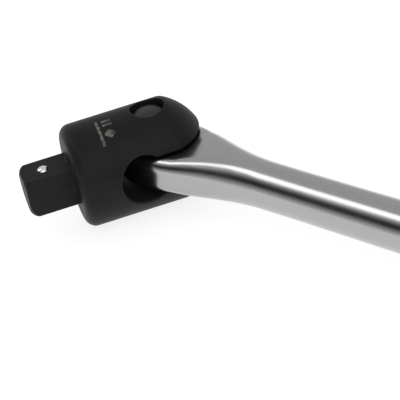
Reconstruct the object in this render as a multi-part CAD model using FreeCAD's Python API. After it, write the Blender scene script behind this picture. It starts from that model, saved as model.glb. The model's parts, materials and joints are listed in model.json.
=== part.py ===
"""Half-inch-drive breaker bar with a hinged yoke head, lying flat.

Row frame: millimetres, +Z up and along the hinge pin, +X from the hinge along the handle to its end,
origin at the centre of the bottom of the overall box. The head is stored bent to one side of the handle.
"""
import FreeCAD, Part
import math
import os

os.makedirs("parts", exist_ok=True)
V = FreeCAD.Vector

# ---- driving dimensions, mm -------------------------------------------------------------------------
DRIVE_AF = 12.7            # square drive, across flats
DRIVE_TURNED_D = 17.5      # square drive, across its turned corners
DRIVE_END_CHAMFER = 2.1    # length of the turned chamfer round the drive's end
DRIVE_END_D = 12.6         # flat left inside that chamfer
DRIVE_NECK_R = 1.0         # fillet where the drive meets the shoulder

PIVOT_TO_DRIVE_END = 44.0
PIVOT_TO_SHOULDER = 28.3
PIVOT_TO_EAR_END = 16.3
HEAD_D = 33.6
SHOULDER_EDGE_R = 3.6      # rounding of the body's edge at the shoulder
EAR_DOME_R = 18.5          # domed end of the ears
EAR_EDGE_R = 5.0           # rounding where the dome meets the round body

SLOT_W = 13.0              # slot between the ears
SLOT_ROOT_D = 16.3         # hole across the head that ends the slot
SLOT_ROOT_X = 7.3          # pivot to the axis of that hole
SLOT_EDGE = 0.5            # broken edges of the slot

REST_FLEX = 58.0           # angle between the head's axis and the handle's as stored

PIN_D = 8.0
PIN_HEAD_D = 10.2
PIN_HEAD_T = 2.2           # at the rim
PIN_HEAD_TOP = 15.5        # top of the domed head, above the middle plane
PIN_HEAD_DOME = 0.8        # height of the dome
COUNTERBORE_D = 11.2
PIN_TAIL_Z = -15.7

TANG_T = 12.0
TANG_R = 13.0              # rounded end of the tang about the pivot
TANG_EDGE_R = 3.4
TANG_BORE_D = 8.08         # runs on the pin

WASHER_ID = 8.2
WASHER_OD = 18.0
WASHER_GAP = 0.09          # running gap between a washer and the tang

DRIVE_BALL_D = 4.76
DRIVE_BALL_FROM_END = 7.3
DRIVE_BALL_BORE_D = 5.36
DRIVE_BALL_LIP_D = 4.2     # staked mouth that keeps the ball in
DRIVE_BALL_LIP_T = 0.3
DRIVE_BALL_Z = 4.8
DRIVE_BORE_FLOOR_Z = -4.2

TENSION_BALL_D = 6.0
TENSION_BORE_D = 6.6
TENSION_GAP = 0.15         # tension ball to tang as stored
TENSION_BORE_FLOOR = 28.6  # pivot to the floor of the tension ball's bore

HANDLE_LEN = 337.0         # pivot to the end of the handle
ROD_D = 16.0
GRIP_START = 205.0
GRIP_COLLAR_D = 17.6
GRIP_COLLAR_L = 7.0
GRIP_CORE_D = 16.4
GRIP_END_COLLAR_L = 12.0
GRIP_DOME_R = 30.0

# ---- neck of the handle: station from the pivot, half width, half thickness, corner radius ----------
NECK = [
    (0.0, TANG_R, TANG_T / 2, TANG_EDGE_R),
    (5.0, 13.0, 6.0, 3.5),
    (9.5, 12.9, 6.0, 3.7),
    (12.5, 12.65, 6.0, 3.9),
    (15.5, 12.2, 6.1, 4.2),
    (19.0, 11.6, 6.5, 4.8),
    (25.0, 10.3, 7.0, 5.6),
    (32.0, 8.95, 7.35, 6.5),
    (40.0, 7.95, 7.55, 7.35),
    (48.0, 7.56, 7.56, 7.56),
    (60.0, 7.54, 7.54, 7.54),
    (80.0, 7.65, 7.65, 7.65),
    (100.0, 7.8, 7.8, 7.8),
    (120.0, 7.95, 7.95, 7.95),
    (140.0, ROD_D / 2, ROD_D / 2, ROD_D / 2),
    (170.0, ROD_D / 2, ROD_D / 2, ROD_D / 2),
    (GRIP_START + 0.5, ROD_D / 2, ROD_D / 2, ROD_D / 2),
]


def pchip(xs, ys, x):
    """Monotone cubic through the stations, level at both ends."""
    n = len(xs)
    h = [xs[i + 1] - xs[i] for i in range(n - 1)]
    d = [(ys[i + 1] - ys[i]) / h[i] for i in range(n - 1)]
    m = [0.0] * n
    for i in range(1, n - 1):
        if d[i - 1] * d[i] > 0:
            w1, w2 = 2 * h[i] + h[i - 1], h[i] + 2 * h[i - 1]
            m[i] = (w1 + w2) / (w1 / d[i - 1] + w2 / d[i])
    i = max(0, min(n - 2, sum(1 for v in xs[1:-1] if v <= x)))
    t = (x - xs[i]) / h[i]
    return (
        ys[i] * (2 * t**3 - 3 * t**2 + 1)
        + m[i] * h[i] * (t**3 - 2 * t**2 + t)
        + ys[i + 1] * (-2 * t**3 + 3 * t**2)
        + m[i + 1] * h[i] * (t**3 - t**2)
    )


def section_points(a, b, r, count=64):
    """Points round a rectangle 2a by 2b with corner radius r, at even angles about its centre, from +Y."""
    r = min(r, a, b)
    pts = []
    for k in range(count):
        ang = 2 * math.pi * k / count
        c, s = abs(math.cos(ang)), abs(math.sin(ang))
        if s * (a) <= c * (b - r):            # the ray leaves through an end flat
            t = a / c
        elif c * (b) <= s * (a - r):          # or through an upper or lower flat
            t = b / s
        else:                                 # or through a corner
            m = (a - r) * c + (b - r) * s
            t = m + math.sqrt(max(m * m - (a - r) ** 2 - (b - r) ** 2 + r * r, 0.0))
        pts.append((t * math.cos(ang), t * math.sin(ang)))
    return pts


def section_wire(x, a, b, r):
    pts = [V(x, y, z) for y, z in section_points(a, b, r)]
    curve = Part.BSplineCurve()
    curve.interpolate(Points=pts, PeriodicFlag=True)
    return Part.Wire([curve.toShape()])


def revolve_x(points, closed_axis=True):
    """Solid of revolution about X from (x, r) corners."""
    wire = Part.makePolygon([V(x, r, 0) for x, r in points] + [V(points[0][0], points[0][1], 0)])
    return Part.Face(wire).revolve(V(0, 0, 0), V(1, 0, 0), 360)


def cyl(r, h, at, direction):
    return Part.makeCylinder(r, h, at, direction)


def coil(radius, wire_d, length, turns):
    """Open helical spring along +Z from z = 0 to length, ends cut flat."""
    pitch = length / turns
    helix = Part.makeHelix(pitch, length - 1.2 * wire_d, radius)
    helix.translate(V(0, 0, 0.6 * wire_d))
    edge = helix.Edges[0]
    p0 = edge.valueAt(edge.FirstParameter)
    t0 = edge.tangentAt(edge.FirstParameter)
    prof = Part.Wire([Part.makeCircle(wire_d / 2, p0, t0)])
    solid = Part.Wire(helix.Edges).makePipeShell([prof], True, True)
    return solid


# ---- head, in its own frame: pivot at the origin, drive towards -X, pin along Z ---------------------
R = HEAD_D / 2
ear_cx = PIVOT_TO_EAR_END - EAR_DOME_R
corner_x = ear_cx + math.sqrt(EAR_DOME_R**2 - R**2)
mid = math.radians(20)
shoulder = -PIVOT_TO_SHOULDER
e1 = Part.LineSegment(V(shoulder, 0, 0), V(shoulder, R - SHOULDER_EDGE_R, 0)).toShape()
s45 = SHOULDER_EDGE_R * (1 - math.sqrt(0.5))
e2 = Part.Arc(V(shoulder, R - SHOULDER_EDGE_R, 0), V(shoulder + s45, R - s45, 0), V(shoulder + SHOULDER_EDGE_R, R, 0)).toShape()
e3 = Part.LineSegment(V(shoulder + SHOULDER_EDGE_R, R, 0), V(corner_x, R, 0)).toShape()
half = math.asin(R / EAR_DOME_R) / 2
e4 = Part.Arc(V(corner_x, R, 0), V(ear_cx + EAR_DOME_R * math.cos(half), EAR_DOME_R * math.sin(half), 0), V(PIVOT_TO_EAR_END, 0, 0)).toShape()
e5 = Part.LineSegment(V(PIVOT_TO_EAR_END, 0, 0), V(shoulder, 0, 0)).toShape()
body = Part.Face(Part.Wire([e1, e2, e3, e4, e5])).revolve(V(0, 0, 0), V(1, 0, 0), 360)
rim = [e for e in body.Edges if e.Closed and abs(e.CenterOfMass.x - corner_x) < 1e-3 and abs(e.Length - 2 * math.pi * R) < 1e-2]
body = body.makeFillet(EAR_EDGE_R, rim)

half_af = DRIVE_AF / 2
square = Part.makeBox(PIVOT_TO_DRIVE_END - PIVOT_TO_SHOULDER + 3, DRIVE_AF, DRIVE_AF, V(-PIVOT_TO_DRIVE_END, -half_af, -half_af))
tr = DRIVE_TURNED_D / 2
c0 = V(-PIVOT_TO_DRIVE_END, DRIVE_END_D / 2, 0)
c1 = V(-PIVOT_TO_DRIVE_END + DRIVE_END_CHAMFER, tr, 0)
bulge = 0.22                                  # the end's chamfer is turned slightly convex
turned = Part.Face(Part.Wire([
    Part.LineSegment(V(-PIVOT_TO_DRIVE_END, 0, 0), c0).toShape(),
    Part.Arc(c0, (c0 + c1) * 0.5 + V(-bulge, bulge, 0), c1).toShape(),
    Part.LineSegment(c1, V(shoulder + 3, tr, 0)).toShape(),
    Part.LineSegment(V(shoulder + 3, tr, 0), V(shoulder + 3, 0, 0)).toShape(),
    Part.LineSegment(V(shoulder + 3, 0, 0), V(-PIVOT_TO_DRIVE_END, 0, 0)).toShape(),
])).revolve(V(0, 0, 0), V(1, 0, 0), 360)
drive = square.common(turned)
neck_r = DRIVE_NECK_R
k0, k1 = V(shoulder - neck_r, half_af, 0), V(shoulder, half_af + neck_r + 1.2, 0)
collar = Part.Face(Part.Wire([
    Part.LineSegment(V(shoulder - neck_r, 0, 0), k0).toShape(),
    Part.Arc(k0, (k0 + k1) * 0.5 + V(0.28, -0.13, 0), k1).toShape(),
    Part.LineSegment(k1, V(shoulder + 1, half_af + neck_r + 1.2, 0)).toShape(),
    Part.LineSegment(V(shoulder + 1, half_af + neck_r + 1.2, 0), V(shoulder + 1, 0, 0)).toShape(),
    Part.LineSegment(V(shoulder + 1, 0, 0), V(shoulder - neck_r, 0, 0)).toShape(),
])).revolve(V(0, 0, 0), V(1, 0, 0), 360)
head = body.fuse([drive, collar])

slot_r = SLOT_W / 2
SLOT_DEPTH = SLOT_ROOT_X + SLOT_ROOT_D / 2    # pivot to the bottom of the slot
slot = Part.makeBox(60, 60, SLOT_W, V(-SLOT_ROOT_X, -30, -slot_r)).fuse(
    cyl(SLOT_ROOT_D / 2, 60, V(-SLOT_ROOT_X, -30, 0), V(0, 1, 0)))
slot = slot.removeSplitter()
root_r = SLOT_ROOT_D / 2
head = head.cut(slot).removeSplitter()
try:
    slot_edges = []
    for e in head.Edges:
        bb = e.BoundBox
        c = e.CenterOfMass
        on_wall = bb.ZMin > -root_r - 1e-3 and bb.ZMax < root_r + 1e-3 and bb.XMax > -SLOT_DEPTH - 0.5 and bb.XMin > -SLOT_DEPTH - 0.5
        outer = math.hypot(c.y, c.z) > 9 or c.x > 8
        if on_wall and outer and e.Length > 2:
            slot_edges.append(e)
    rounded = head.makeFillet(SLOT_EDGE, slot_edges)
    if rounded.isValid() and len(rounded.Solids) == 1:
        head = rounded
    else:
        print("slot edges left sharp: fillet not valid")
except Exception as err:
    print("slot edges left sharp:", err)

head = head.cut(cyl(PIN_D / 2, 60, V(0, 0, -30), V(0, 0, 1)))
head_z = PIN_HEAD_TOP - PIN_HEAD_DOME - PIN_HEAD_T          # underside of the pin's head
head = head.cut(cyl(COUNTERBORE_D / 2, 10, V(0, 0, head_z), V(0, 0, 1)))

# bore of the drive's ball, from the upper flat
bx = -PIVOT_TO_DRIVE_END + DRIVE_BALL_FROM_END
head = head.cut(cyl(DRIVE_BALL_BORE_D / 2, half_af - DRIVE_BALL_LIP_T - DRIVE_BORE_FLOOR_Z, V(bx, 0, DRIVE_BORE_FLOOR_Z), V(0, 0, 1)))
head = head.cut(cyl(DRIVE_BALL_LIP_D / 2, 5, V(bx, 0, half_af - DRIVE_BALL_LIP_T - 0.1), V(0, 0, 1)))
# bore of the tension ball, from the bottom of the slot
head = head.cut(cyl(TENSION_BORE_D / 2, TENSION_BORE_FLOOR - 12.0, V(-TENSION_BORE_FLOOR, 0, 0), V(1, 0, 0)))

# ---- hinge pin ----------------------------------------------------------------------------------------
pin = cyl(PIN_D / 2, head_z - PIN_TAIL_Z, V(0, 0, PIN_TAIL_Z), V(0, 0, 1))
tail = [e for e in pin.Edges if e.Closed and abs(e.CenterOfMass.z - PIN_TAIL_Z) < 1e-6]
pin = pin.makeChamfer(0.6, tail)
hr = PIN_HEAD_D / 2
rim_z = PIN_HEAD_TOP - PIN_HEAD_DOME
dome_r = (hr * hr + PIN_HEAD_DOME**2) / (2 * PIN_HEAD_DOME)
mid_r = 0.55 * hr
crown_r = 0.6                 # small flat at the crown
crown_z = PIN_HEAD_TOP - dome_r + math.sqrt(dome_r**2 - crown_r**2)
pin_head = Part.Face(Part.Wire([
    Part.LineSegment(V(0, 0, head_z), V(hr, 0, head_z)).toShape(),
    Part.LineSegment(V(hr, 0, head_z), V(hr, 0, rim_z)).toShape(),
    Part.Arc(V(hr, 0, rim_z), V(mid_r, 0, PIN_HEAD_TOP - dome_r + math.sqrt(dome_r**2 - mid_r**2)), V(crown_r, 0, crown_z)).toShape(),
    Part.LineSegment(V(crown_r, 0, crown_z), V(0, 0, crown_z)).toShape(),
    Part.LineSegment(V(0, 0, crown_z), V(0, 0, head_z)).toShape(),
])).revolve(V(0, 0, 0), V(0, 0, 1), 360)
rim = [e for e in pin_head.Edges if e.Closed and abs(e.CenterOfMass.z - rim_z) < 1e-6]
pin_head = pin_head.makeFillet(0.5, rim)
pin = pin.fuse(pin_head).removeSplitter()

# ---- thrust washers ------------------------------------------------------------------------------------
def washer(z0, z1):
    w = cyl(WASHER_OD / 2, z1 - z0, V(0, 0, z0), V(0, 0, 1)).cut(cyl(WASHER_ID / 2, z1 - z0 + 2, V(0, 0, z0 - 1), V(0, 0, 1)))
    outer = [e for e in w.Edges if e.Closed and abs(e.Length - math.pi * WASHER_OD) < 1e-3]
    return w.makeChamfer(0.12, outer)

upper_washer = washer(TANG_T / 2 + WASHER_GAP, slot_r)
lower_washer = washer(-slot_r, -TANG_T / 2 - WASHER_GAP)

# ---- balls and springs ---------------------------------------------------------------------------------
drive_ball = Part.makeSphere(DRIVE_BALL_D / 2)
drive_ball.translate(V(bx, 0, DRIVE_BALL_Z))
ball_floor = DRIVE_BALL_Z - DRIVE_BALL_D / 2
drive_spring_len = ball_floor - DRIVE_BORE_FLOOR_Z - 0.06
drive_spring = coil(1.75, 0.6, drive_spring_len, 6)
drive_spring.translate(V(bx, 0, DRIVE_BORE_FLOOR_Z + 0.03))

tb_x = -(TANG_R + TENSION_GAP + TENSION_BALL_D / 2)
tension_ball = Part.makeSphere(TENSION_BALL_D / 2)
tension_ball.translate(V(tb_x, 0, 0))
tension_spring_len = TENSION_BORE_FLOOR + tb_x - TENSION_BALL_D / 2 - 0.06
tension_spring = coil(2.3, 0.9, tension_spring_len, 6)
tension_spring.rotate(V(0, 0, 0), V(0, 1, 0), 90)
tension_spring.translate(V(-TENSION_BORE_FLOOR + 0.03, 0, 0))

# ---- handle: +X from the pivot --------------------------------------------------------------------------
xs = [s[0] for s in NECK]
WAIST_X = 48.0
stations = [0, 4, 8, 11.5, 15, 18, 22, 26, 31, 36, 42]
wires = []
for x in stations:
    a, b, r = (pchip(xs, [s[k] for s in NECK], x) for k in (1, 2, 3))
    wires.append(section_wire(x, a, b, r))
waist_r = pchip(xs, [s[1] for s in NECK], WAIST_X)
waist = Part.makeCircle(waist_r, V(WAIST_X, 0, 0), V(1, 0, 0))
first = waist.valueAt(waist.FirstParameter)
waist.rotate(V(WAIST_X, 0, 0), V(1, 0, 0), -math.degrees(math.atan2(first.z, first.y)))
wires.append(Part.Wire([waist]))
bar = Part.makeLoft(wires, True, False)
if bar.ShapeType != "Solid":
    bar = Part.Solid(bar.Shells[0])

swell = [WAIST_X, 54, 60, 70, 80, 90, 100, 110, 120, 130, 140]
curve = Part.BSplineCurve()
curve.interpolate(Points=[V(x, pchip(xs, [s[1] for s in NECK], x), 0) for x in swell], InitialTangent=V(1, 0, 0), FinalTangent=V(1, 0, 0))
rod = Part.Face(Part.Wire([
    Part.LineSegment(V(WAIST_X, 0, 0), V(WAIST_X, waist_r, 0)).toShape(),
    curve.toShape(),
    Part.LineSegment(V(140, ROD_D / 2, 0), V(GRIP_START, ROD_D / 2, 0)).toShape(),
    Part.LineSegment(V(GRIP_START, ROD_D / 2, 0), V(GRIP_START, 0, 0)).toShape(),
    Part.LineSegment(V(GRIP_START, 0, 0), V(WAIST_X, 0, 0)).toShape(),
])).revolve(V(0, 0, 0), V(1, 0, 0), 360)
bar = bar.fuse([rod], 1e-4)

section = Part.Face(wires[0])
half_section = section.common(Part.makeBox(2, 40, 40, V(-1, 0, -20)))
tang_end = half_section.Faces[0].revolve(V(0, 0, 0), V(0, 0, 1), 180)
if tang_end.BoundBox.XMax > 1:
    tang_end = half_section.Faces[0].revolve(V(0, 0, 0), V(0, 0, -1), 180)
handle = bar.fuse([tang_end], 1e-4)

gc, gk = GRIP_COLLAR_D / 2, GRIP_CORE_D / 2
g0, g1 = GRIP_START, HANDLE_LEN
flat_r = 1.5               # small flat at the middle of the domed end
dome_cx = g1 - math.sqrt(GRIP_DOME_R**2 - flat_r**2)
rim_r = gc - 1.2
x_rim = dome_cx + math.sqrt(GRIP_DOME_R**2 - rim_r**2)
profile = [
    Part.LineSegment(V(g0, 0, 0), V(g0, ROD_D / 2 + 0.05, 0)).toShape(),
    Part.LineSegment(V(g0, ROD_D / 2 + 0.05, 0), V(g0 + 1.2, gc, 0)).toShape(),
    Part.LineSegment(V(g0 + 1.2, gc, 0), V(g0 + GRIP_COLLAR_L - 0.6, gc, 0)).toShape(),
    Part.LineSegment(V(g0 + GRIP_COLLAR_L - 0.6, gc, 0), V(g0 + GRIP_COLLAR_L, gk, 0)).toShape(),
    Part.LineSegment(V(g0 + GRIP_COLLAR_L, gk, 0), V(g1 - GRIP_END_COLLAR_L, gk, 0)).toShape(),
    Part.LineSegment(V(g1 - GRIP_END_COLLAR_L, gk, 0), V(g1 - GRIP_END_COLLAR_L + 0.6, gc, 0)).toShape(),
    Part.LineSegment(V(g1 - GRIP_END_COLLAR_L + 0.6, gc, 0), V(x_rim - 1.2, gc, 0)).toShape(),
    Part.Arc(V(x_rim - 1.2, gc, 0), V(x_rim - 1.2 + 1.2 * math.sin(math.radians(42)), gc - 1.2 * (1 - math.cos(math.radians(42))), 0), V(x_rim, rim_r, 0)).toShape(),
    Part.Arc(V(x_rim, rim_r, 0), V(dome_cx + math.sqrt(GRIP_DOME_R**2 - (rim_r / 2) ** 2), rim_r / 2, 0), V(g1, flat_r, 0)).toShape(),
    Part.LineSegment(V(g1, flat_r, 0), V(g1, 0, 0)).toShape(),
    Part.LineSegment(V(g1, 0, 0), V(g0, 0, 0)).toShape(),
]
grip = Part.Face(Part.Wire(profile)).revolve(V(0, 0, 0), V(1, 0, 0), 360)
handle = handle.fuse([grip], 1e-4)
handle = handle.cut(cyl(TANG_BORE_D / 2, 40, V(0, 0, -20), V(0, 0, 1)))

# ---- place everything in the row frame ------------------------------------------------------------------
nodes = {
    "drive_head": head,
    "hinge_pin": pin,
    "upper_thrust_washer": upper_washer,
    "lower_thrust_washer": lower_washer,
    "drive_ball": drive_ball,
    "drive_ball_spring": drive_spring,
    "tension_ball": tension_ball,
    "tension_spring": tension_spring,
    "handle_bar": handle,
}
for name, shape in nodes.items():
    if name != "handle_bar":
        shape.rotate(V(0, 0, 0), V(0, 0, 1), REST_FLEX)

box = FreeCAD.BoundBox()
for shape in nodes.values():
    box.add(shape.optimalBoundingBox(False, False) if hasattr(shape, "optimalBoundingBox") else shape.BoundBox)
offset = V(-(box.XMin + box.XMax) / 2, -(box.YMin + box.YMax) / 2, -box.ZMin)
for name, shape in nodes.items():
    shape.translate(offset)
    print(name, shape.ShapeType, "valid", shape.isValid(), "solids", len(shape.Solids), "volume", round(shape.Volume, 1))
    out = shape.Solids[0] if len(shape.Solids) == 1 else shape
    out.exportStep("parts/%s.step" % name)
print("pivot at", offset, "box", box.XLength, box.YLength, box.ZLength)
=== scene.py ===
"""Breaker bar: looks, floor, light and camera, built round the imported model."""

import json
import math

import bmesh
import bpy
import numpy as np
from mathutils import Matrix, Vector

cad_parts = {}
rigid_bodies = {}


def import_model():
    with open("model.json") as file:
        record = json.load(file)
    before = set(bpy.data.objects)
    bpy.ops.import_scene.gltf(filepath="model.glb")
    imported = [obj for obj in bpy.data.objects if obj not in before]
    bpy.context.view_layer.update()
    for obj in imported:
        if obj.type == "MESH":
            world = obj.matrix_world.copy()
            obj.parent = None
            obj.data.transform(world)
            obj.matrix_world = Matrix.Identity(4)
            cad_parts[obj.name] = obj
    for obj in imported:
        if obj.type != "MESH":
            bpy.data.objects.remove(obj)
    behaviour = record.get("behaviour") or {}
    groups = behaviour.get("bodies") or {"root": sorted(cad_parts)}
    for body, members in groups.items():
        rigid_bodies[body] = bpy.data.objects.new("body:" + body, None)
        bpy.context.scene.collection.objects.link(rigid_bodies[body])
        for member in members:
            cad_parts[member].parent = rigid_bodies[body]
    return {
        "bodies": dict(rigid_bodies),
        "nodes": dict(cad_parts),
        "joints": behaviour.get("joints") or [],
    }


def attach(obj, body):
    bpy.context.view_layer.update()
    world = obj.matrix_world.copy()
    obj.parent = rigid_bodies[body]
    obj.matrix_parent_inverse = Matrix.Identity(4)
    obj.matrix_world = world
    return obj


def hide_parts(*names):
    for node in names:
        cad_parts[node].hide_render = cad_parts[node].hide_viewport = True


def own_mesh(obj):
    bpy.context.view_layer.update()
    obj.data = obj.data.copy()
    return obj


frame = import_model()
NODES, BODIES, JOINTS = frame["nodes"], frame["bodies"], frame["joints"]
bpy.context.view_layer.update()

MM = 0.001
PIVOT = next(Vector(j["pos_m"]) for j in JOINTS if j["name"] == "head_flex")
FLEX = math.radians(58.0)
HEAD_X = Vector((math.cos(FLEX), math.sin(FLEX), 0))       # from the drive to the ears
HEAD_Y = Vector((-math.sin(FLEX), math.cos(FLEX), 0))
UP = Vector((0, 0, 1))


def head_point(x, y, z):
    """A point in the head's own frame, mm from the pivot, as a row-frame point in metres."""
    return PIVOT + (HEAD_X * x + HEAD_Y * y + UP * z) * MM


# ---------------------------------------------------------------------------------------------------
# materials
# ---------------------------------------------------------------------------------------------------
class Mat:
    """Small helper around a node tree with one Principled shader."""

    def __init__(self, name):
        self.m = bpy.data.materials.new(name)
        self.m.use_nodes = True
        self.t = self.m.node_tree
        self.bsdf = self.t.nodes["Principled BSDF"]
        self.coord = self.t.nodes.new("ShaderNodeTexCoord")

    def set(self, **kw):
        for k, v in kw.items():
            self.bsdf.inputs[k.replace("_", " ")].default_value = v
        return self

    def node(self, kind, **props):
        n = self.t.nodes.new(kind)
        for k, v in props.items():
            setattr(n, k, v)
        return n

    def link(self, a, b):
        self.t.links.new(a, b)

    def noise(self, scale, detail=3.0, rough=0.5, stretch=None, distortion=0.0, rot=0.0):
        n = self.node("ShaderNodeTexNoise")
        n.inputs["Scale"].default_value = scale
        n.inputs["Detail"].default_value = detail
        n.inputs["Roughness"].default_value = rough
        n.inputs["Distortion"].default_value = distortion
        mp = self.node("ShaderNodeMapping")
        mp.inputs["Scale"].default_value = stretch or (1, 1, 1)
        mp.inputs["Rotation"].default_value = (0, 0, rot)
        self.link(self.coord.outputs["Object"], mp.inputs["Vector"])
        self.link(mp.outputs["Vector"], n.inputs["Vector"])
        return n.outputs["Fac"]

    def ramp(self, fac, stops):
        r = self.node("ShaderNodeValToRGB")
        el = r.color_ramp.elements
        while len(el) < len(stops):
            el.new(0.5)
        for e, (p, c) in zip(el, stops):
            e.position = p
            e.color = c if len(c) == 4 else (*c, 1)
        self.link(fac, r.inputs["Fac"])
        return r.outputs["Color"]

    def grey(self, fac, stops):
        return self.ramp(fac, [(p, (v, v, v, 1)) for p, v in stops])

    def mix(self, fac, a, b, blend="MIX"):
        n = self.node("ShaderNodeMix", data_type="RGBA", blend_type=blend)
        for sock, val in ((n.inputs["Factor"], fac), (n.inputs["A"], a), (n.inputs["B"], b)):
            if isinstance(val, bpy.types.NodeSocket):
                self.link(val, sock)
            else:
                sock.default_value = val
        return n.outputs["Result"]

    def math(self, op, a, b=None):
        n = self.node("ShaderNodeMath", operation=op)
        for sock, val in ((n.inputs[0], a), (n.inputs[1], b)):
            if val is None:
                continue
            if isinstance(val, bpy.types.NodeSocket):
                self.link(val, sock)
            else:
                sock.default_value = val
        return n.outputs[0]

    def bump(self, height, strength, distance, normal=None):
        n = self.node("ShaderNodeBump")
        n.inputs["Strength"].default_value = strength
        n.inputs["Distance"].default_value = distance
        self.link(height, n.inputs["Height"])
        if normal is not None:
            self.link(normal, n.inputs["Normal"])
        return n.outputs["Normal"]

    def bevel(self, radius, samples=6):
        n = self.node("ShaderNodeBevel", samples=samples)
        n.inputs["Radius"].default_value = radius
        return n.outputs["Normal"]


def phosphate():
    """Black phosphate on forged and turned steel: near black, fine grain, a dull sheen, rubbed a little on the edges."""
    m = Mat("black_phosphate")
    grain = m.noise(2600, 4, 0.6)
    cloud = m.noise(140, 3, 0.55)
    patch = m.noise(46, 2, 0.5, distortion=0.4)
    base = m.ramp(cloud, [(0.25, (0.0075, 0.0078, 0.0084)), (0.75, (0.0125, 0.0128, 0.0134))])
    base = m.mix(m.grey(grain, [(0.45, 0.0), (0.85, 0.5)]), base, (0.024, 0.025, 0.026, 1))
    # rubbed edges: where the bevelled normal leaves the true one
    geo = m.node("ShaderNodeNewGeometry")
    rub_n = m.bevel(0.0007, 8)
    dot = m.node("ShaderNodeVectorMath", operation="DOT_PRODUCT")
    m.link(rub_n, dot.inputs[0])
    m.link(geo.outputs["Normal"], dot.inputs[1])
    edge = m.grey(m.math("SUBTRACT", 1.0, dot.outputs["Value"]), [(0.03, 0.0), (0.25, 1.0)])
    rub = m.math("MULTIPLY", edge, m.grey(patch, [(0.38, 0.0), (0.72, 0.55)]))
    m.link(m.mix(rub, base, (0.105, 0.104, 0.102, 1)), m.bsdf.inputs["Base Color"])
    m.link(m.grey(cloud, [(0.2, 0.44), (0.8, 0.56)]), m.bsdf.inputs["Roughness"])
    m.set(Metallic=0.0, Specular_IOR_Level=0.12)
    n = m.bump(grain, 0.22, 0.00004, m.bevel(0.00035, 6))
    n = m.bump(cloud, 0.10, 0.00012, n)
    m.link(n, m.bsdf.inputs["Normal"])
    return m.m


def chrome(name="polished_chrome", base=(0.408, 0.411, 0.417), rough=(0.17, 0.22)):
    """Polished chrome plate: mirror bright with fine polishing lines along the bar and a trace of waviness."""
    m = Mat(name)
    lines = m.noise(900, 3, 0.6, stretch=(0.035, 1, 1))
    wave = m.noise(24, 2, 0.5)
    smudge = m.noise(60, 4, 0.6, distortion=0.6)
    m.link(m.mix(m.grey(smudge, [(0.35, 0.0), (0.8, 0.35)]), (*base, 1), tuple(0.93 * c for c in base) + (1,)), m.bsdf.inputs["Base Color"])
    r = m.math("ADD", m.grey(smudge, [(0.3, rough[0]), (0.85, rough[1])]), m.grey(lines, [(0.45, 0.0), (0.9, 0.05)]))
    m.link(r, m.bsdf.inputs["Roughness"])
    m.set(Metallic=1.0)
    n = m.bump(lines, 0.05, 0.00002)
    n = m.bump(wave, 0.06, 0.00025, n)
    m.link(n, m.bsdf.inputs["Normal"])
    return m.m


def steel(name, base, rough, fine=1400, stretch=(1, 1, 1), rot=0.0, bump=0.12):
    """Bare or blued steel with directional tool marks."""
    m = Mat(name)
    marks = m.noise(fine, 4, 0.6, stretch=stretch, rot=rot)
    tone = m.noise(180, 3, 0.5)
    m.link(m.mix(m.grey(tone, [(0.3, 0.0), (0.75, 0.6)]), (*base, 1), tuple(0.72 * c for c in base) + (1,)), m.bsdf.inputs["Base Color"])
    m.link(m.grey(marks, [(0.3, rough * 0.8), (0.8, rough * 1.3)]), m.bsdf.inputs["Roughness"])
    m.set(Metallic=1.0)
    m.link(m.bump(marks, bump, 0.00003, m.bevel(0.00012, 4)), m.bsdf.inputs["Normal"])
    return m.m


MAT_HEAD = phosphate()
MAT_CHROME = chrome()
MAT_BALL = chrome("bearing_ball", (0.80, 0.80, 0.81), (0.03, 0.06))
MAT_PIN = steel("pin_steel", (0.055, 0.055, 0.057), 0.34, stretch=(1, 0.1, 1))
MAT_WASHER = steel("blued_washer", (0.060, 0.062, 0.070), 0.38)
MAT_SPRING = steel("spring_wire", (0.28, 0.27, 0.26), 0.34)


def assign(obj, mat):
    obj.data.materials.clear()
    obj.data.materials.append(mat)


for node, mat in (
    ("drive_head", MAT_HEAD),
    ("handle_bar", MAT_CHROME),
    ("hinge_pin", MAT_PIN),
    ("upper_thrust_washer", MAT_WASHER),
    ("lower_thrust_washer", MAT_WASHER),
    ("drive_ball", MAT_BALL),
    ("tension_ball", MAT_BALL),
    ("drive_ball_spring", MAT_SPRING),
    ("tension_spring", MAT_SPRING),
):
    assign(NODES[node], mat)


def squeeze(node, push):
    """A copy of the coil spring, with a mesh of its own, takes the part's place and rides with the head; push is
    normalised and not used further.
    """
    spring = NODES[node]
    own = bpy.data.objects.new(node + "_coil", spring.data.copy())
    bpy.context.scene.collection.objects.link(own)
    own.matrix_world = spring.matrix_world.copy()
    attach(own, "head")
    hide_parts(node)
    push = Vector(push).normalized()
    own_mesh(own)


squeeze("drive_ball_spring", (0, 0, -1))
squeeze("tension_spring", -HEAD_X)

# ---------------------------------------------------------------------------------------------------
# the handle's skin: the same sections as the solid, finely and evenly meshed, with a knurled grip
# ---------------------------------------------------------------------------------------------------
NECK = [
    (0.0, 13.0, 6.0, 3.4), (5.0, 13.0, 6.0, 3.5), (9.5, 12.9, 6.0, 3.7), (12.5, 12.65, 6.0, 3.9),
    (15.5, 12.2, 6.1, 4.2), (19.0, 11.6, 6.5, 4.8), (25.0, 10.3, 7.0, 5.6), (32.0, 8.95, 7.35, 6.5),
    (40.0, 7.95, 7.55, 7.35), (48.0, 7.56, 7.56, 7.56), (60.0, 7.54, 7.54, 7.54), (80.0, 7.65, 7.65, 7.65),
    (100.0, 7.8, 7.8, 7.8), (120.0, 7.95, 7.95, 7.95), (140.0, 8.0, 8.0, 8.0), (170.0, 8.0, 8.0, 8.0), (205.5, 8.0, 8.0, 8.0),
]
HANDLE_LEN, GRIP_START = 337.0, 205.0
RING = 180


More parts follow.
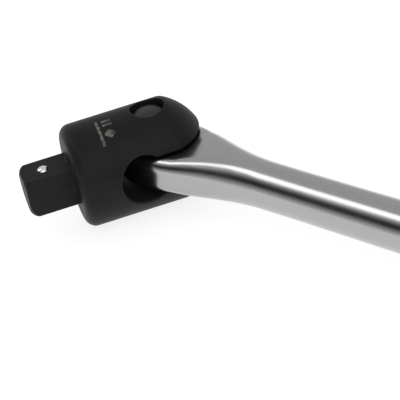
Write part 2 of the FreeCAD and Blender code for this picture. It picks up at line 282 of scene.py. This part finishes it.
def pchip(xs, ys, x):
    n = len(xs)
    h = [xs[i + 1] - xs[i] for i in range(n - 1)]
    d = [(ys[i + 1] - ys[i]) / h[i] for i in range(n - 1)]
    m = [0.0] * n
    for i in range(1, n - 1):
        if d[i - 1] * d[i] > 0:
            w1, w2 = 2 * h[i] + h[i - 1], h[i] + 2 * h[i - 1]
            m[i] = (w1 + w2) / (w1 / d[i - 1] + w2 / d[i])
    i = max(0, min(n - 2, sum(1 for v in xs[1:-1] if v <= x)))
    t = (x - xs[i]) / h[i]
    return (ys[i] * (2 * t**3 - 3 * t**2 + 1) + m[i] * h[i] * (t**3 - 2 * t**2 + t)
            + ys[i + 1] * (-2 * t**3 + 3 * t**2) + m[i + 1] * h[i] * (t**3 - t**2))


def ring_angles(count):
    """Angles about the bar, closer together where the tang's corners are."""
    q = count // 4
    out = []
    for k in range(q):
        f = k / q
        # first quarter: 0..90 degrees, slow between 10 and 35
        out.append(np.interp(f, [0.0, 0.10, 0.70, 1.0], [0.0, 9.0, 36.0, 90.0]))
    quarter = np.array(out)
    second = 180.0 - np.append(quarter[1:], 90.0)[::-1]
    a = np.concatenate([quarter, second])
    return np.radians(np.concatenate([a, a + 180.0]))


def section(a, b, r, angles):
    r = min(r, a, b)
    pts = []
    for ang in angles:
        c, s = abs(math.cos(ang)), abs(math.sin(ang))
        if s * a <= c * (b - r):
            t = a / c
        elif c * b <= s * (a - r):
            t = b / s
        else:
            mm = (a - r) * c + (b - r) * s
            t = mm + math.sqrt(max(mm * mm - (a - r) ** 2 - (b - r) ** 2 + r * r, 0.0))
        pts.append((t * math.cos(ang), t * math.sin(ang)))
    return pts


def smooth_mesh(name, bm, sharp_deg=None):
    bmesh.ops.recalc_face_normals(bm, faces=bm.faces)
    me = bpy.data.meshes.new(name)
    bm.to_mesh(me)
    bm.free()
    me.shade_smooth()
    if sharp_deg is not None:
        me.set_sharp_from_angle(angle=math.radians(sharp_deg))
    ob = bpy.data.objects.new(name, me)
    bpy.context.scene.collection.objects.link(ob)
    return ob


def handle_skin():
    """Neck and rod as stacked rings, the tang's end as half rings turned about the hinge, the grip as turned rings."""
    xs = [q[0] for q in NECK]
    ang = ring_angles(RING)
    bm = bmesh.new()

    def vert(x, y, z):
        return bm.verts.new(PIVOT + Vector((x, y, z)) * MM)

    rings = []
    stations = list(np.arange(0, 50.01, 0.7)) + list(np.arange(54, 140.1, 4.0)) + [170.0, GRIP_START - 0.4]
    even = np.arange(RING) * 2 * math.pi / RING
    for x in stations:
        a, b, r = (pchip(xs, [q[k] for q in NECK], x) for k in (1, 2, 3))
        w = min(1.0, max(0.0, (x - 50.0) / 88.0))
        rings.append([vert(x, y, z) for y, z in section(a, b, r, ang * (1 - w) + even * w)])
    # grip: plain turned rings, then the knurl's diamonds, then the end collar and dome
    turned = [(GRIP_START, 8.05), (GRIP_START + 0.25, 8.2), (GRIP_START + 1.1, 8.74), (GRIP_START + 1.5, 8.8),
              (GRIP_START + 6.2, 8.8), (GRIP_START + 6.5, 8.72), (GRIP_START + 6.9, 8.22), (GRIP_START + 7.3, 8.18)]
    for x, r in turned:
        rings.append([vert(x, r * math.cos(t), r * math.sin(t)) for t in even])
    k0, k1 = GRIP_START + 7.6, HANDLE_LEN - 12.6
    teeth = 36
    lead = 2 * math.pi * 8.5 / teeth * math.sqrt(3.0)          # along the bar, per tooth round it
    steps = int((k1 - k0) / 0.31)
    for i in range(steps + 1):
        x = k0 + (k1 - k0) * i / steps
        fade = min(1.0, (x - k0) / 0.8, (k1 - x) / 0.8)
        ring = []
        for t in even:
            p = teeth * t / (2 * math.pi)
            q = (x - k0) / lead
            u, v = p + q, p - q
            h = min(abs(2 * (u - math.floor(u)) - 1), abs(2 * (v - math.floor(v)) - 1))
            r = 8.18 + 0.50 * max(0.0, fade) * min(1.0, 1.5 * h)
            ring.append(vert(x, r * math.cos(t), r * math.sin(t)))
        rings.append(ring)
    dome_r, flat_r, gc = 30.0, 1.5, 8.8
    dome_cx = HANDLE_LEN - math.sqrt(dome_r**2 - flat_r**2)
    x_rim = dome_cx + math.sqrt(dome_r**2 - (gc - 1.2) ** 2)
    e0 = HANDLE_LEN - 12.0
    tail = [(e0 - 0.3, 8.18), (e0, 8.22), (e0 + 0.45, 8.70), (e0 + 0.8, 8.8), (x_rim - 1.5, 8.8)]
    for k in range(7):
        f = math.radians(15 * k * 0.86)
        tail.append((x_rim - 1.2 + 1.2 * math.sin(f), gc - 1.2 + 1.2 * math.cos(f)))
    for r in (7.2, 6.4, 5.4, 4.2, 2.8, 1.5):
        tail.append((dome_cx + math.sqrt(dome_r**2 - r * r) - 0.004, r))
    for x, r in tail:
        rings.append([vert(x, r * math.cos(t), r * math.sin(t)) for t in even])
    for A, B in zip(rings, rings[1:]):
        for k in range(RING):
            bm.faces.new((A[k], A[(k + 1) % RING], B[(k + 1) % RING], B[k]))
    bm.faces.new(rings[-1])
    # the tang's end: the half of the first ring on +Y turned 180 degrees about the hinge
    first = rings[0]
    q = RING // 4
    half = [first[(k - q) % RING] for k in range(2 * q + 1)]            # from under the hinge round +Y to above it
    coords = [(v.co - PIVOT) / MM for v in half]
    prev = half
    turns = 60
    other = [first[(3 * q - k) % RING] for k in range(2 * q + 1)]       # the same points on -Y
    lo, hi = half[0], half[-1]
    for j in range(1, turns + 1):
        f = math.pi * j / turns
        if j == turns:
            cur = other
        else:
            cur = [lo] + [vert(-c.y * math.sin(f), c.y * math.cos(f), c.z) for c in coords[1:-1]] + [hi]
        for k in range(2 * q):
            quad = []
            for v in (prev[k], prev[k + 1], cur[k + 1], cur[k]):
                if v not in quad:
                    quad.append(v)
            if len(quad) > 2:
                bm.faces.new(quad)
        prev = cur
    ob = smooth_mesh("handle_skin", bm, 38)
    # bore for the hinge pin
    cb = bmesh.new()
    n = 64
    lo_r = [cb.verts.new(PIVOT + Vector((4.04 * math.cos(2 * math.pi * k / n), 4.04 * math.sin(2 * math.pi * k / n), -12)) * MM) for k in range(n)]
    hi_r = [cb.verts.new(PIVOT + Vector((4.04 * math.cos(2 * math.pi * k / n), 4.04 * math.sin(2 * math.pi * k / n), 12)) * MM) for k in range(n)]
    for k in range(n):
        cb.faces.new((lo_r[k], lo_r[(k + 1) % n], hi_r[(k + 1) % n], hi_r[k]))
    cb.faces.new(lo_r[::-1])
    cb.faces.new(hi_r)
    cutter = smooth_mesh("bore_cutter", cb)
    mod = ob.modifiers.new("bore", "BOOLEAN")
    mod.operation = "DIFFERENCE"
    mod.solver = "EXACT"
    mod.object = cutter
    bpy.context.view_layer.update()
    done = bpy.data.meshes.new_from_object(ob.evaluated_get(bpy.context.evaluated_depsgraph_get()))
    ob.modifiers.clear()
    ob.data = done
    bpy.data.objects.remove(cutter)
    done.shade_smooth()
    done.set_sharp_from_angle(angle=math.radians(38))
    return ob


skin = handle_skin()
assign(skin, MAT_CHROME)
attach(skin, "handle")
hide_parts("handle_bar")


# ---------------------------------------------------------------------------------------------------
# a plain etched mark on the head: a band, two bars and a lozenge, no lettering
# ---------------------------------------------------------------------------------------------------
def etched():
    m = Mat("etched_mark")
    wear = m.noise(700, 4, 0.65)
    m.link(m.ramp(wear, [(0.36, (0.028, 0.027, 0.026)), (0.62, (0.20, 0.185, 0.17))]), m.bsdf.inputs["Base Color"])
    m.link(m.grey(wear, [(0.3, 0.62), (0.8, 0.48)]), m.bsdf.inputs["Roughness"])
    m.set(Metallic=0.0, Specular_IOR_Level=0.2)
    return m.m


def on_head(x, deg, lift=0.03):
    """A point on the head's round body; deg turns from the top towards the drive's near side."""
    r = 16.8 + lift
    return head_point(x, -r * math.sin(math.radians(deg)), r * math.cos(math.radians(deg)))


def mark_sheet():
    bm = bmesh.new()
    shapes = [
        lambda u, v: (-17.4 + 0.9 * u, 1.0 + 37.0 * v),
        lambda u, v: (-15.4 + 3.0 * u, 3.0 + 3.2 * v),
        lambda u, v: (-15.4 + 3.0 * u, 9.5 + 3.2 * v),
        lambda u, v: (-14.0 + 1.9 * (u - v), 18.0 + 6.5 * (u + v)),
    ]
    for f in shapes:
        n = 12
        vs = [[bm.verts.new(on_head(*f(i / n, j / n))) for j in range(n + 1)] for i in range(n + 1)]
        for i in range(n):
            for j in range(n):
                bm.faces.new((vs[i][j], vs[i + 1][j], vs[i + 1][j + 1], vs[i][j + 1]))
    centre = head_point(-15, 0, 0)
    bm.normal_update()
    for f in bm.faces:
        if f.normal.dot(f.calc_center_median() - centre) < 0:
            f.normal_flip()
    me = bpy.data.meshes.new("etched_mark")
    bm.to_mesh(me)
    bm.free()
    me.shade_smooth()
    ob = bpy.data.objects.new("etched_mark", me)
    bpy.context.scene.collection.objects.link(ob)
    return ob


mark = mark_sheet()
assign(mark, etched())
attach(mark, "head")

# ---------------------------------------------------------------------------------------------------
# floor and light
# ---------------------------------------------------------------------------------------------------
def plain_material(name, colour, rough=0.9, emit=0.0):
    m = Mat(name)
    m.set(Roughness=rough)
    tone = m.noise(9, 2, 0.5)
    m.link(m.mix(tone, (*(c * 0.995 for c in colour), 1), (*colour, 1)), m.bsdf.inputs["Base Color"])
    if emit:
        m.bsdf.inputs["Emission Color"].default_value = (1, 1, 1, 1)
        m.bsdf.inputs["Emission Strength"].default_value = emit
    return m.m


def grid_sheet(name, size, z=0.0, n=8):
    bm = bmesh.new()
    vs = [[bm.verts.new((-size / 2 + size * i / n, -size / 2 + size * j / n, z)) for j in range(n + 1)] for i in range(n + 1)]
    for i in range(n):
        for j in range(n):
            bm.faces.new((vs[i][j], vs[i + 1][j], vs[i + 1][j + 1], vs[i][j + 1]))
    me = bpy.data.meshes.new(name)
    bm.to_mesh(me)
    bm.free()
    ob = bpy.data.objects.new(name, me)
    bpy.context.scene.collection.objects.link(ob)
    return ob


floor = grid_sheet("studio_floor", 6.0, z=-0.0002)
assign(floor, plain_material("floor_white", (0.34, 0.34, 0.34), 0.95, emit=0.82))

world = bpy.data.worlds.new("studio")
bpy.context.scene.world = world
world.use_nodes = True
w_nodes, w_links = world.node_tree.nodes, world.node_tree.links
sky = w_nodes["Background"]
sky.inputs["Strength"].default_value = 0.64
# even white light, dimmer in one patch low on the drive's side of the room; angles run round the bar from the floor up
look = w_nodes.new("ShaderNodeTexCoord")
part_xyz = w_nodes.new("ShaderNodeSeparateXYZ")
w_links.new(look.outputs["Generated"], part_xyz.inputs[0])
minus_y = w_nodes.new("ShaderNodeMath")
minus_y.operation = "MULTIPLY"
minus_y.inputs[1].default_value = -1.0
w_links.new(part_xyz.outputs["Y"], minus_y.inputs[0])
rise = w_nodes.new("ShaderNodeMath")
rise.operation = "ARCTAN2"
w_links.new(part_xyz.outputs["Z"], rise.inputs[0])
w_links.new(minus_y.outputs[0], rise.inputs[1])
quarter = w_nodes.new("ShaderNodeMath")
quarter.operation = "DIVIDE"
quarter.inputs[1].default_value = math.pi / 2
w_links.new(rise.outputs[0], quarter.inputs[0])
dim = w_nodes.new("ShaderNodeValToRGB")
stops = [(9.6, 1.0), (11.6, 0.47), (20.6, 0.47), (22.6, 0.05), (41.6, 0.05), (43.6, 0.344), (52.0, 0.344), (54.0, 1.0)]
while len(dim.color_ramp.elements) < len(stops):
    dim.color_ramp.elements.new(0.5)
for stop, (deg, v) in zip(dim.color_ramp.elements, stops):
    stop.position = deg / 90
for stop, (deg, v) in zip(dim.color_ramp.elements, stops):
    stop.color = (v, v, v, 1)
w_links.new(quarter.outputs[0], dim.inputs[0])
side = w_nodes.new("ShaderNodeVectorMath")
side.operation = "DOT_PRODUCT"
side.inputs[1].default_value = (-0.647, -0.646, 0.405)
w_links.new(look.outputs["Generated"], side.inputs[0])
patch = w_nodes.new("ShaderNodeMapRange")
patch.inputs["From Min"].default_value = 0.80
patch.inputs["From Max"].default_value = 0.86
w_links.new(side.outputs["Value"], patch.inputs["Value"])
blend = w_nodes.new("ShaderNodeMixRGB")
blend.inputs[1].default_value = (1, 1, 1, 1)
w_links.new(patch.outputs[0], blend.inputs[0])
w_links.new(dim.outputs[0], blend.inputs[2])
w_links.new(blend.outputs[0], sky.inputs["Color"])


def area(name, at, aim, size, power, size_y=None):
    d = bpy.data.lights.new(name, "AREA")
    d.energy = power
    d.size = size
    if size_y:
        d.shape = "RECTANGLE"
        d.size_y = size_y
    o = bpy.data.objects.new(name, d)
    bpy.context.scene.collection.objects.link(o)
    o.location = at
    o.rotation_euler = (Vector(aim) - Vector(at)).to_track_quat("-Z", "Y").to_euler()
    return o


def toward(direction, dist):
    return PIVOT + Vector(direction).normalized() * dist


area("key_softbox", toward((-0.647, -0.247, 0.721), 1.3), PIVOT, 0.34, 1.9, 0.8)
area("fill_softbox", toward((0.7, -0.5, 0.9), 1.6), PIVOT, 1.2, 5.0)

# ---------------------------------------------------------------------------------------------------
# camera: a long lens over the hinge, from the drive's side
# ---------------------------------------------------------------------------------------------------
EPS, TAU, PHI = math.radians(31.0), math.radians(7.0), math.radians(17.65)
K = 3.155                   # picture units of 400 across, per mm at the pivot
DIST = 1.0
se, ce, st, ct = math.sin(EPS), math.cos(EPS), math.sin(TAU), math.cos(TAU)
e_s = HEAD_X * ct - HEAD_Y * (st * ce) + UP * (st * se)
e_u = HEAD_Y * se + UP * ce
to_cam = -HEAD_X * st - HEAD_Y * (ct * ce) + UP * (ct * se)
right = e_s * math.cos(PHI) - e_u * math.sin(PHI)
up = e_s * math.sin(PHI) + e_u * math.cos(PHI)
PX, PY = 157.3, 151.1       # where the pivot falls, of 400 by 400
target = PIVOT + (right * ((200 - PX) / K) - up * ((200 - PY) / K)) * MM
cam_data = bpy.data.cameras.new("camera")
cam = bpy.data.objects.new("camera", cam_data)
bpy.context.scene.collection.objects.link(cam)
cam_data.sensor_width = 36.0
cam_data.lens = 36.0 * DIST / (400.0 / K * MM)
cam_data.clip_start = 0.01
cam_data.clip_end = 50.0
rot = Matrix((right, up, to_cam)).transposed()
cam.matrix_world = Matrix.Translation(target + to_cam * DIST) @ rot.to_4x4()
bpy.context.scene.camera = cam

bpy.context.scene.view_settings.view_transform = "Standard"
bpy.context.scene.view_settings.look = "None"
